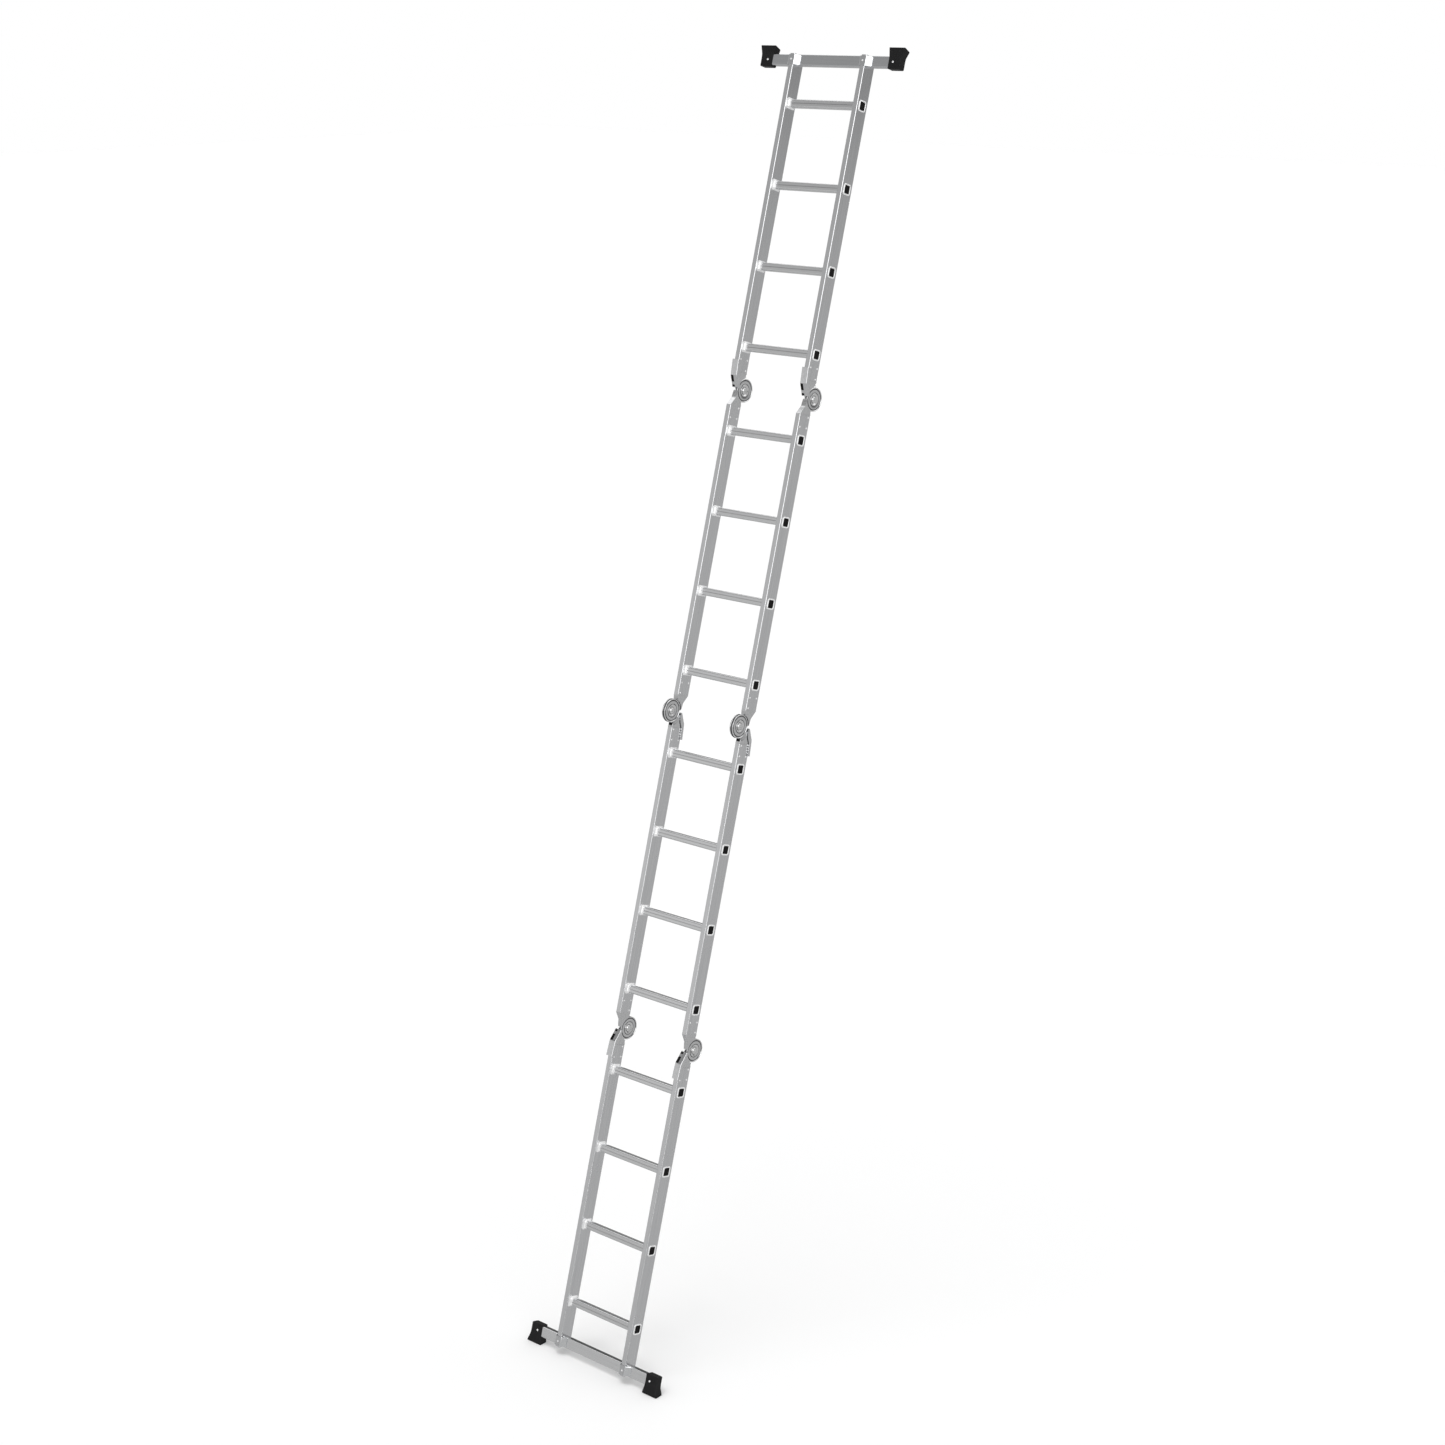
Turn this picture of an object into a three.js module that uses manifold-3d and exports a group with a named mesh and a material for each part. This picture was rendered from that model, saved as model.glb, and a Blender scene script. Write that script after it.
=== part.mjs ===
// A folding ladder of four hinged sections, opened out straight and leaning back.
//
// Everything is built in the ladder's own frame and then leaned: x runs along the rungs,
// y from the front (climber's side, negative) to the back, z up along the stiles, and the
// first rung's centre is at zero. Millimetres throughout.
import * as THREE from 'three';
import { mergeVertices } from 'three/addons/utils/BufferGeometryUtils.js';
import Module from 'manifold-3d';

// Driving dimensions
const LEAN = THREE.MathUtils.degToRad(16.19); // how far the stiles lean back from upright
const GAP = 0.3; // clearance between pieces that touch

const SECTIONS = 4;
const RUNGS_PER_SECTION = 4;
const RUNG_PITCH = 280;
const HINGE_PITCH = 290.7; // between the two rungs on either side of a hinge
const WIDTH = 325; // over the two stiles

const STILE_WIDTH = 20; // along x
const STILE_DEPTH = 57; // along y
const STILE_CORNER = 3;
const STILE_WALL = 1.4;
const STILE_END = 166; // from the last rung's centre to the plain end of a stile
const HINGE_SETBACK = 58; // from a hinge's pivot to the stile end it is pushed into

const RUNG_HEIGHT = 27;
const RUNG_DEPTH = 26;
const RUNG_CORNER = 4.5;
const RUNG_WALL = 1.4;
const RUNG_PROUD = 1.5; // how far a rung stands out of a stile's outer face

const BAR_HEIGHT = 37.5;
const BAR_DEPTH = 24;
const BAR_WALL = 1.5;
const BAR_CORNER = 3;
const BAR_HALF_LENGTH = 290;

const FOOT_INNER = 247.5; // mouth of the socket, from the ladder's middle
const FOOT_OUTER = 297;
const FOOT_DEPTH = 30;
const FOOT_OVER_BAR = 5; // socket wall beyond the bar on the rung side
const FOOT_STRAIGHT = 9; // from the stile end back to where the foot starts to flare
const FOOT_FLARE_OUTER = 10.5; // at the sole
const FOOT_FLARE_INNER = 6.5;
const FOOT_REACH = 24.7; // from the stile end to the sole, on the stile's centre line

const BRACKET_SHEET = 2;
const BRACKET_HEIGHT = 31;
const BRACKET_INSET = 4.5; // from the stile end
const BRACKET_HALF_CROWN = 12.2; // half of the crown's width, over the sheet
const BRACKET_FLANK = 14; // how far each flank reaches sideways

// Hinge, in its own frame: a runs towards the side the discs are on, b away from the pivot
// along the arm, and u is across the stile's thickness.
const PIVOT_OFFSET = 38.5; // from the stile's centre line to the pivot
const DISC_RADIUS = 41;
const TONGUE_RADIUS = 37.5;
const CHEEK_INNER = 3;
const CHEEK_OUTER = 6;
const TONGUE_HALF = 2.7;
const SHOULDER_HALF = 9.5;
const SHANK_HALF = 8; // the part of an arm inside the stile
const SHANK_DEPTH = 53;
const SHANK_END = 118;
const ARM_SHEET = 2.5;
const NECK_EDGE = 4; // how far the neck stands beyond the centre line, away from the discs
const NECK_START = 5;
const CHAMFER_START = 30;
const CHAMFER_EDGE = 8;
const PIN_RADIUS = 8;
const PIN_HEAD_RADIUS = 15;
const PIN_HEAD = 1.8;
const PIN_HEAD_BEVEL = 1.5;
const DISC_STEPS = 24;
const PIN_STEPS = 12;

const LEVER_HALF = 13.6;
const LEVER_SHEET = 2;
const LEVER_END = 98; // free end, from the hinge pivot
const LEVER_PIVOT_A = -12;
const LEVER_PIVOT_B = 32;
const LEVER_PIN_RADIUS = 2.5;
const LEVER_PIN_PROUD = 0.8; // of the lever's flanges
const TOOTH_HALF = 2.4;
const TOOTH_ROOM_DEPTH = 40; // the slot that the tooth moves in, along y
const TOOTH_ROOM_HEIGHT = 30;
const TOOTH_ROOM_CENTRE = 5; // beyond the stile's centre line

const aluminium = { color: 0xb9bbbd, roughness: 0.35, metalness: 1 };
const steel = { color: 0xa9abad, roughness: 0.4, metalness: 1 };
const blackRubber = { color: 0x1f1f20, roughness: 0.7, metalness: 0 };

const wasm = await Module();
wasm.setup();

// Joining and cutting

function solid(geometry) {
  const bare = geometry.clone();
  bare.deleteAttribute('normal');
  bare.deleteAttribute('uv');
  const merged = mergeVertices(bare, 1e-4);
  return new wasm.Manifold(new wasm.Mesh({
    numProp: 3,
    vertProperties: merged.attributes.position.array,
    triVerts: Uint32Array.from(merged.index.array),
  }));
}

function geometryOf(body) {
  const mesh = body.getMesh();
  const geometry = new THREE.BufferGeometry();
  geometry.setAttribute('position', new THREE.BufferAttribute(mesh.vertProperties, 3));
  geometry.setIndex(new THREE.BufferAttribute(mesh.triVerts, 1));
  geometry.computeVertexNormals();
  return geometry;
}

// Outlines and prisms

function roundedRectangle(width, height, radius) {
  const x = width / 2 - radius;
  const y = height / 2 - radius;
  const outline = new THREE.Shape();
  outline.absarc(x, y, radius, 0, Math.PI / 2);
  outline.absarc(-x, y, radius, Math.PI / 2, Math.PI);
  outline.absarc(-x, -y, radius, Math.PI, 1.5 * Math.PI);
  outline.absarc(x, -y, radius, 1.5 * Math.PI, 2 * Math.PI);
  outline.closePath();
  return outline;
}

function polygon(points) {
  return new THREE.Shape(points.map(([x, y]) => new THREE.Vector2(x, y)));
}

function extrude(outline, length) {
  return new THREE.ExtrudeGeometry(outline, { depth: length, bevelEnabled: false, curveSegments: 1 });
}

// A prism lying along x, from -half to +half, whose outline is drawn in y and z.
function crosswise(outline, half) {
  const toCrosswise = new THREE.Matrix4().makeBasis(
    new THREE.Vector3(0, 1, 0),
    new THREE.Vector3(0, 0, 1),
    new THREE.Vector3(1, 0, 0),
  );
  return extrude(outline, 2 * half).translate(0, 0, -half).applyMatrix4(toCrosswise);
}

function tubeOutline(width, height, corner, wall) {
  const outline = roundedRectangle(width, height, corner);
  outline.holes.push(roundedRectangle(width - 2 * wall, height - 2 * wall, corner - wall));
  return outline;
}

function roundBar(radius, half, steps = DISC_STEPS) {
  return new THREE.CylinderGeometry(radius, radius, 2 * half, steps).rotateZ(Math.PI / 2);
}

// Placing

const ladder = new THREE.Group();

function place(name, geometry, look, x = 0, y = 0, z = 0) {
  const mesh = new THREE.Mesh(geometry, new THREE.MeshStandardMaterial(look));
  mesh.name = name;
  mesh.position.set(x, y, z);
  ladder.add(mesh);
}

const SECTION_PITCH = (RUNGS_PER_SECTION - 1) * RUNG_PITCH + HINGE_PITCH;
const rungHeight = (section, rung) => section * SECTION_PITCH + rung * RUNG_PITCH;
const hingeHeight = (level) => rungHeight(level, RUNGS_PER_SECTION - 1) + HINGE_PITCH / 2;
const LADDER_END = rungHeight(SECTIONS - 1, RUNGS_PER_SECTION - 1) + STILE_END;
const STILE_X = (WIDTH - STILE_WIDTH) / 2;
const SIDES = [['left', -1], ['right', 1]];
const ENDS = [['bottom', -1, -STILE_END], ['top', 1, LADDER_END]];

// Stiles and rungs

function stile(bottom, top, rungHeights) {
  const outline = tubeOutline(STILE_WIDTH, STILE_DEPTH, STILE_CORNER, STILE_WALL);
  let body = solid(extrude(outline, top - bottom).translate(0, 0, bottom));
  const hole = roundedRectangle(RUNG_DEPTH + 2 * GAP, RUNG_HEIGHT + 2 * GAP, RUNG_CORNER);
  for (const height of rungHeights) {
    body = body.subtract(solid(crosswise(hole, STILE_WIDTH).translate(0, 0, height)));
  }
  for (const [, towards, end] of ENDS) {
    if (bottom === end || top === end) {
      const notch = new THREE.BoxGeometry(2 * STILE_WIDTH, BAR_DEPTH + 2 * GAP, 2 * (BAR_HEIGHT + GAP));
      body = body.subtract(solid(notch.translate(0, 0, end)));
    }
  }
  return geometryOf(body);
}

function rung() {
  const outline = tubeOutline(RUNG_DEPTH, RUNG_HEIGHT, RUNG_CORNER, RUNG_WALL);
  return crosswise(outline, WIDTH / 2 + RUNG_PROUD);
}

for (let section = 0; section < SECTIONS; section += 1) {
  const heights = [];
  for (let step = 0; step < RUNGS_PER_SECTION; step += 1) {
    const height = rungHeight(section, step);
    heights.push(height);
    place(`section_${section + 1}_rung_${step + 1}`, rung(), aluminium, 0, 0, height);
  }
  const bottom = section === 0 ? -STILE_END : hingeHeight(section - 1) + HINGE_SETBACK;
  const top = section === SECTIONS - 1 ? LADDER_END : hingeHeight(section) - HINGE_SETBACK;
  for (const [side, sign] of SIDES) {
    const name = `section_${section + 1}_${side}_stile`;
    place(name, stile(bottom, top, heights), aluminium, sign * STILE_X);
  }
}

// Cross bars, end brackets and feet

function crossBar() {
  return crosswise(tubeOutline(BAR_DEPTH, BAR_HEIGHT, BAR_CORNER, BAR_WALL), BAR_HALF_LENGTH);
}

// A hat of bent sheet: its crown lies on the stile's front face and its flanks run back to
// the bar on both sides.
function endBracket() {
  const crownY = -STILE_DEPTH / 2 - GAP;
  const barY = -BAR_DEPTH / 2 - GAP;
  const halfBrim = BRACKET_HALF_CROWN + BRACKET_FLANK;
  const slope = Math.hypot(BRACKET_FLANK, barY - crownY) / (barY - crownY);
  const thick = BRACKET_SHEET * slope; // the flank's sheet, measured sideways
  const outside = [[halfBrim, barY], [BRACKET_HALF_CROWN, crownY - BRACKET_SHEET]];
  const inside = [[STILE_WIDTH / 2 + GAP, crownY], [halfBrim - thick, barY]];
  const mirrored = (points) => points.map(([x, y]) => [-x, y]).reverse();
  const outline = [...outside, ...mirrored(outside), ...mirrored(inside), ...inside];
  return extrude(polygon(outline), BRACKET_HEIGHT);
}

// The foot at one end of a bar: a socket that flares towards its sole. The sole is cut so
// that it is level when the ladder leans.
function foot(towards, end, side) {
  const mouth = side * FOOT_INNER;
  const tip = side * FOOT_OUTER;
  const back = end - towards * (BAR_HEIGHT + FOOT_OVER_BAR);
  const flare = end - towards * FOOT_STRAIGHT;
  const beyond = FOOT_REACH + FOOT_DEPTH / 2;
  const growth = (beyond + FOOT_STRAIGHT) / (FOOT_REACH + FOOT_STRAIGHT);
  const outline = polygon([
    [mouth, back], [tip, back], [tip, flare],
    [tip + side * FOOT_FLARE_OUTER * growth, end + towards * beyond],
    [mouth - side * FOOT_FLARE_INNER * growth, end + towards * beyond], [mouth, flare],
  ]);
  const block = extrude(outline, FOOT_DEPTH).rotateX(Math.PI / 2).translate(0, FOOT_DEPTH / 2, 0);
  const ground = new THREE.BoxGeometry(4 * FOOT_OUTER, 4 * FOOT_DEPTH, 2 * FOOT_DEPTH)
    .translate(0, 0, towards * FOOT_DEPTH)
    .rotateX(towards < 0 ? LEAN : -LEAN)
    .translate(0, 0, end + towards * FOOT_REACH);
  const length = 2 * (BAR_HALF_LENGTH + GAP);
  const socket = new THREE.BoxGeometry(length, BAR_DEPTH + 2 * GAP, BAR_HEIGHT + 2 * GAP)
    .translate(0, 0, end - towards * BAR_HEIGHT / 2);
  return geometryOf(solid(block).subtract(solid(ground)).subtract(solid(socket)));
}

for (const [name, towards, end] of ENDS) {
  place(`${name}_bar`, crossBar(), aluminium, 0, 0, end - towards * BAR_HEIGHT / 2);
  const bracketStart = end - towards * (BRACKET_INSET + BRACKET_HEIGHT / 2) - BRACKET_HEIGHT / 2;
  for (const [side, sign] of SIDES) {
    place(`${name}_${side}_end_bracket`, endBracket(), steel, sign * STILE_X, 0, bracketStart);
    place(`${name}_${side}_foot`, foot(towards, end, sign), blackRubber);
  }
}

// Hinges

// Turns outline points from the hinge's own frame (a, b) to y and z about its pivot.
function facing(points, discSide, along) {
  return polygon(points.map(([a, b]) => [discSide * (a - PIVOT_OFFSET), along * b]));
}

const CLEAR_OF_DISC = DISC_RADIUS + 1;
const SHOULDER_TOP = HINGE_SETBACK - GAP;
const SHANK_START = SHOULDER_TOP - 4; // a little way inside the shoulder
const HOLLOW_START = SHOULDER_TOP - 6;
const HALF_DEPTH = STILE_DEPTH / 2 - 0.2;

// The shoulder closes the stile's end and narrows to the neck that carries the discs. Its
// side under the discs is the same on both arms.
const underDiscs = [[12, NECK_START], [25, 38], [26, 47], [HALF_DEPTH, SHOULDER_TOP]];
const tongueShoulder = [
  [-HALF_DEPTH, SHOULDER_TOP], [-CHAMFER_EDGE, CHAMFER_START], [-NECK_EDGE, NECK_START],
  ...underDiscs,
];
const forkShoulder = [
  [-HALF_DEPTH, SHOULDER_TOP], [-19, 38], [-18, 30], [-10, 18], [-NECK_EDGE, NECK_START],
  ...underDiscs,
];

// A block of the arm that lies inside the stile.
function shankOutline(half, from, to) {
  return [[-half, from], [half, from], [half, to], [-half, to]];
}

const shank = shankOutline(SHANK_DEPTH / 2, SHANK_START, SHANK_END);
const shankHollow = shankOutline(SHANK_DEPTH / 2 - ARM_SHEET, HOLLOW_START, SHANK_END + 1);

// Shoulder and hollow shank, which both arms have.
function armEnd(shoulder, discSide, along) {
  const body = solid(crosswise(facing(shoulder, discSide, along), SHOULDER_HALF))
    .subtract(solid(roundBar(CLEAR_OF_DISC, 2 * SHOULDER_HALF)))
    .add(solid(crosswise(facing(shank, discSide, along), SHANK_HALF)));
  const hollow = solid(crosswise(facing(shankHollow, discSide, along), SHANK_HALF - ARM_SHEET));
  return body.subtract(hollow);
}

function tongueArm(discSide, along) {
  const tongue = solid(roundBar(TONGUE_RADIUS, TONGUE_HALF))
    .add(solid(crosswise(facing(tongueShoulder, discSide, along), TONGUE_HALF)));
  const bore = solid(roundBar(PIN_RADIUS + 2 * GAP, DISC_RADIUS, PIN_STEPS));
  return geometryOf(armEnd(tongueShoulder, discSide, along).add(tongue).subtract(bore));
}

function forkArm(discSide, along) {
  const cheeks = solid(roundBar(DISC_RADIUS, CHEEK_OUTER))
    .add(solid(crosswise(facing(forkShoulder, discSide, along), CHEEK_OUTER)));
  const slot = new THREE.BoxGeometry(2 * CHEEK_INNER, TOOTH_ROOM_DEPTH, TOOTH_ROOM_HEIGHT);
  const toothRoom = solid(slot.translate(0, -discSide * (PIVOT_OFFSET + TOOTH_ROOM_CENTRE), 0));
  const tongueRoom = solid(roundBar(TONGUE_RADIUS + 2 * GAP, CHEEK_INNER));
  const sweep = solid(roundBar(CLEAR_OF_DISC, CHEEK_INNER));
  const web = solid(crosswise(facing(forkShoulder, discSide, along), CHEEK_INNER))
    .subtract(tongueRoom);
  const bore = solid(roundBar(PIN_RADIUS + 2 * GAP, DISC_RADIUS, PIN_STEPS));
  const leverPin = solid(roundBar(LEVER_PIN_RADIUS, LEVER_HALF + LEVER_PIN_PROUD, PIN_STEPS)
    .translate(0, discSide * (LEVER_PIVOT_A - PIVOT_OFFSET), along * LEVER_PIVOT_B));
  return geometryOf(armEnd(forkShoulder, discSide, along)
    .add(cheeks.subtract(sweep).add(web))
    .subtract(toothRoom).subtract(bore).add(leverPin));
}

// The pin through the discs, with a head on each side.
function hingePin() {
  const seat = CHEEK_OUTER + GAP;
  const flat = PIN_HEAD_RADIUS - PIN_HEAD_BEVEL;
  const points = [
    [0, -seat - PIN_HEAD], [flat, -seat - PIN_HEAD], [PIN_HEAD_RADIUS, -seat],
    [PIN_RADIUS, -seat], [PIN_RADIUS, seat],
    [PIN_HEAD_RADIUS, seat], [flat, seat + PIN_HEAD], [0, seat + PIN_HEAD],
  ];
  const profile = points.map(([radius, height]) => new THREE.Vector2(radius, height));
  return new THREE.LatheGeometry(profile, PIN_STEPS).rotateZ(Math.PI / 2);
}

// The release lever: a channel of bent sheet over the stile's end, with its nose bent round
// the neck and a tooth on the nose that reaches in between the cheeks.
const leverFront = [
  [-35.6, LEVER_END], [-32.6, 60], [-31, 43], [-26, 34], [-19.5, 22], [-12.5, 9],
];
const leverPlate = [
  ...leverFront,
  [-10.8, 10], [-17.7, 23], [-24.2, 35], [-29, 44], [-30.6, 60], [-33.6, LEVER_END],
];
const leverFlange = [
  ...leverFront,
  [-4, 5], [-3, 17], [-9, 38], [-18, 52], [-20, 88], [-24, LEVER_END],
];
const leverTooth = [[-13, 12], [-12.5, 9], [0.5, 5.5], [0.5, 10.5], [-12, 14]];

function releaseLever(discSide, along) {
  const outer = solid(crosswise(facing(leverFlange, discSide, along), LEVER_HALF));
  const inside = 2 * (LEVER_HALF - LEVER_SHEET);
  const between = solid(new THREE.BoxGeometry(inside, 4 * LEVER_END, 4 * LEVER_END));
  const plate = solid(crosswise(facing(leverPlate, discSide, along), LEVER_HALF - LEVER_SHEET / 2));
  const tooth = solid(crosswise(facing(leverTooth, discSide, along), TOOTH_HALF));
  const eye = solid(roundBar(LEVER_PIN_RADIUS + 2 * GAP, 2 * LEVER_HALF, PIN_STEPS)
    .translate(0, discSide * (LEVER_PIVOT_A - PIVOT_OFFSET), along * LEVER_PIVOT_B));
  return geometryOf(outer.subtract(between).add(plate).add(tooth).subtract(eye));
}

// level, side of the stile the discs are on, and which way the fork's arm runs
const HINGES = [['lower', 0, 1, -1], ['middle', 1, -1, -1], ['upper', 2, 1, 1]];

for (const [name, level, discSide, forkAlong] of HINGES) {
  for (const [side, sign] of SIDES) {
    const at = [sign * STILE_X, discSide * PIVOT_OFFSET, hingeHeight(level)];
    place(`${name}_${side}_hinge_fork`, forkArm(discSide, forkAlong), steel, ...at);
    place(`${name}_${side}_hinge_tongue`, tongueArm(discSide, -forkAlong), steel, ...at);
    place(`${name}_${side}_hinge_pin`, hingePin(), steel, ...at);
    place(`${name}_${side}_release_lever`, releaseLever(discSide, forkAlong), steel, ...at);
  }
}

// Lean the ladder back and stand its feet on z = 0, with the middle of its length at y = 0.
ladder.rotation.x = -LEAN;
ladder.position.z = (STILE_END + FOOT_REACH) * Math.cos(LEAN);
ladder.updateMatrixWorld(true);
const extent = new THREE.Box3().setFromObject(ladder, true);
ladder.position.y = -(extent.min.y + extent.max.y) / 2;

export default ladder;
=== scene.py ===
import math

import bmesh
import bpy
from mathutils import Matrix, Vector


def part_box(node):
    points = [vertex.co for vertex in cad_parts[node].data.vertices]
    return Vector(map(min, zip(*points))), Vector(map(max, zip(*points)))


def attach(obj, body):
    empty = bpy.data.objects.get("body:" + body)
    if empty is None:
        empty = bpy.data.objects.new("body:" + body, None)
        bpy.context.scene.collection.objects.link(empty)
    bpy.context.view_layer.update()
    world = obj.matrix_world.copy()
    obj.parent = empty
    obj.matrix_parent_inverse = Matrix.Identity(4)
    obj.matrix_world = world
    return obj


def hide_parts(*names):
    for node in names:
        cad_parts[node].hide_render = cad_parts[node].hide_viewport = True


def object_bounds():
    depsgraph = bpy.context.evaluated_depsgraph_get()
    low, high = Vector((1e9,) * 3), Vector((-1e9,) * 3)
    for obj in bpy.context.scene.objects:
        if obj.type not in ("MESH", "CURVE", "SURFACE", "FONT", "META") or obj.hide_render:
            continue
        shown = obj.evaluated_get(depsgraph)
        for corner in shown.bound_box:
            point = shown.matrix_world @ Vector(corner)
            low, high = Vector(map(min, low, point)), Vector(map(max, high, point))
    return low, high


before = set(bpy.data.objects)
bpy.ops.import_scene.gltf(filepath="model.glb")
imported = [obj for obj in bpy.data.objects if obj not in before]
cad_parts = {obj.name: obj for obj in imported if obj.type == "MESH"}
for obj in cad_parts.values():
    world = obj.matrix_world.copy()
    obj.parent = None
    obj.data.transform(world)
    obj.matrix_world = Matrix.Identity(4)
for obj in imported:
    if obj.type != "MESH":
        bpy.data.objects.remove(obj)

cad_low, cad_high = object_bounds()
METRES = 0.001
SHARP_ANGLE = 32  # degrees between two faces from which their edge is shaded sharp
CLEARANCE = 0.3  # between pieces that touch

# Driving dimensions
STILE_WIDTH, STILE_DEPTH, STILE_CORNER, STILE_WALL = 20, 57, 3, 1.4
RUNGS_PER_SECTION = 4
RUNG_DEPTH, RUNG_HEIGHT, RUNG_CORNER, RUNG_WALL = 26, 27, 4.5, 1.4
TREAD_GROOVES, FRONT_GROOVES, GROOVE_DEPTH = (6, 1.4), (1, 2.2), 0.8  # (count, width)
BAR_DEPTH, BAR_HEIGHT, BAR_CORNER, BAR_WALL = 24, 37.5, 3, 1.5
BAR_HALF_LENGTH = 290
RIM_DEPTH, RIM_HEIGHT, RIM_CORNER, RIM_PROUD = 37.5, 38, 8, 2.6
PLUG_DEPTH, PLUG_HEIGHT, PLUG_CORNER, PLUG_SQUEEZE = 27, 27.5, 4.5, 0.6
COLLAR_DEPTH, COLLAR_HEIGHT, COLLAR_LENGTH = 46, 37, 9
FOOT_INNER, FOOT_OUTER, FOOT_DEPTH, FOOT_CORNER = 247.5, 297, 30, 3.4
FOOT_OVER_BAR, FOOT_STRAIGHT, FOOT_REACH = 5, 9, 24.7
FOOT_FLARE_INNER, FOOT_FLARE_OUTER = 6.5, 10.5
FOOT_RIVET_INSET = 19.5  # from the stile's end and from the foot's mouth
BRACKET_SHEET, BRACKET_BEND, BRACKET_HEIGHT, BRACKET_INSET = 2, 1.6, 31, 4.5
BRACKET_HALF_CROWN, BRACKET_HALF_BRIM = 12, 26.2
BRACKET_WEB, BRACKET_WEB_BRIM = 2.6, 20  # the narrower edge towards the rungs
BRACKET_RIVET_INSET = 20
PIVOT_OFFSET = 38.5
HINGE_SETBACK = 58
DISC_RADIUS, TONGUE_RADIUS, PIN_RADIUS = 41, 37.5, 8
CHEEK_OUTER, TONGUE_HALF, SHOULDER_HALF = 6, 2.6, 9.5
LEVER_HALF, LEVER_SHEET, LEVER_BEND, LEVER_END, LEVER_NOSE = 13.6, 2, 2.6, 98, 4
LEVER_PIVOT = (-12, 32)
RIVET_RADIUS, RIVET_HEIGHT = 3.1, 1.5


# The ladder's frame, read from the CAD

def middle(node):
    low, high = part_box(node)
    return (low + high) / 2


up = (middle("upper_left_hinge_pin") - middle("lower_left_hinge_pin")).normalized()
across = Vector((1, 0, 0))
back = up.cross(across)
LADDER = Matrix((across, back, up)).transposed().to_4x4()
LADDER.translation = middle("section_1_rung_1")
TO_LADDER = LADDER.inverted()
LEAN_SLOPE = up.y / up.z


def spot(node):
    """Where a node's middle is in the ladder's frame, in millimetres."""
    return TO_LADDER @ middle(node) / METRES


STILE_X = spot("lower_right_hinge_pin").x
BOTTOM_END = spot("bottom_bar").z - BAR_HEIGHT / 2
TOP_END = spot("top_bar").z + BAR_HEIGHT / 2
SIDES = (("left", -1), ("right", 1))
# name, body that carries the bar, which way the end points, its height
ENDS = (("bottom", "section_1", -1, BOTTOM_END), ("top", "section_4", 1, TOP_END))
# name, side of the discs, which way the fork's arm runs, body of the fork, body of the tongue
HINGES = (
    ("lower", 1, -1, "section_1", "section_2"),
    ("middle", -1, -1, "section_2", "section_3"),
    ("upper", 1, 1, "section_4", "section_3"),
)
HINGE_HEIGHT = {name: spot(f"{name}_left_hinge_pin").z for name, *_ in HINGES}


# Outlines

def rounded(width, height, radius, steps=5, guard=0.25):
    """A rounded rectangle, with a point on each flat just past the corner to keep it flat."""
    points = []
    for quarter, (side, top) in enumerate(((1, 1), (-1, 1), (-1, -1), (1, -1))):
        centre = Vector((side * (width / 2 - radius), top * (height / 2 - radius)))
        for step in range(steps + 1):
            angle = math.radians(90 * (quarter + step / steps))
            spoke = Vector((math.cos(angle), math.sin(angle)))
            along = Vector((-spoke.y, spoke.x)) * guard
            corner = centre + radius * spoke
            if step == 0:
                points.append(corner - along)
            points.append(corner)
            if step == steps:
                points.append(corner + along)
    return points


def grooved(width, height, radius, grooves, depth):
    """A rounded rectangle with shallow grooves along its flats: (count, width) for each flat."""
    plain = rounded(width, height, radius)
    per_corner = len(plain) // 4
    points = []
    for corner in range(4):
        points += plain[corner * per_corner:(corner + 1) * per_corner]
        start = points[-1]
        end = plain[(corner + 1) * per_corner % len(plain)]
        inward = Vector((-(end - start).y, (end - start).x)).normalized() * depth
        count, mouth = grooves[corner]
        run = (end - start).normalized()
        for groove in range(count):
            centre = start.lerp(end, (groove + 0.5) / count)
            for part, sunk in ((-0.5, 0), (-0.3, 1), (0.3, 1), (0.5, 0)):
                points.append(centre + run * mouth * part + inward * sunk)
    return points


def eased(value):
    """Rises smoothly from 0 to 1."""
    value = min(1.0, max(0.0, value))
    return value * value * (3 - 2 * value)


def between(points, value):
    """Reads a broken line given as (place, height) pairs in rising order."""
    for (place, height), (next_place, next_height) in zip(points, points[1:]):
        if value <= next_place:
            share = max(0.0, (value - place) / (next_place - place))
            return height + (next_height - height) * share
    return points[-1][1]


def softened(points, value, reach=3):
    """The broken line with its corners rounded off over the reach to either side."""
    samples = [between(points, value + reach * step / 4) for step in range(-4, 5)]
    return sum(samples) / len(samples)


# Surfaces

def loft(bm, rings, closed=False, look=0):
    """Joins rings of equally many points, and closes the loop of rings or caps its ends."""
    rows = [[bm.verts.new(point) for point in ring] for ring in rings]
    pairs = list(zip(rows, rows[1:]))
    if closed:
        pairs.append((rows[-1], rows[0]))
    faces = []
    for near, far in pairs:
        for i in range(len(near)):
            j = (i + 1) % len(near)
            faces.append(bm.faces.new((near[i], near[j], far[j], far[i])))
    if not closed:
        faces.append(bm.faces.new(rows[0][::-1]))
        faces.append(bm.faces.new(rows[-1]))
    for face in faces:
        face.material_index = look


def crosswise(outline, x):
    """An outline drawn in y and z, set at x."""
    return [(x, y, z) for y, z in outline]


def tube_across(bm, outer, inner, half):
    """A hollow bar lying along x."""
    rings = [crosswise(outer, -half), crosswise(outer, half)]
    rings += [crosswise(inner, half), crosswise(inner, -half)]
    loft(bm, rings, closed=True)


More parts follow.
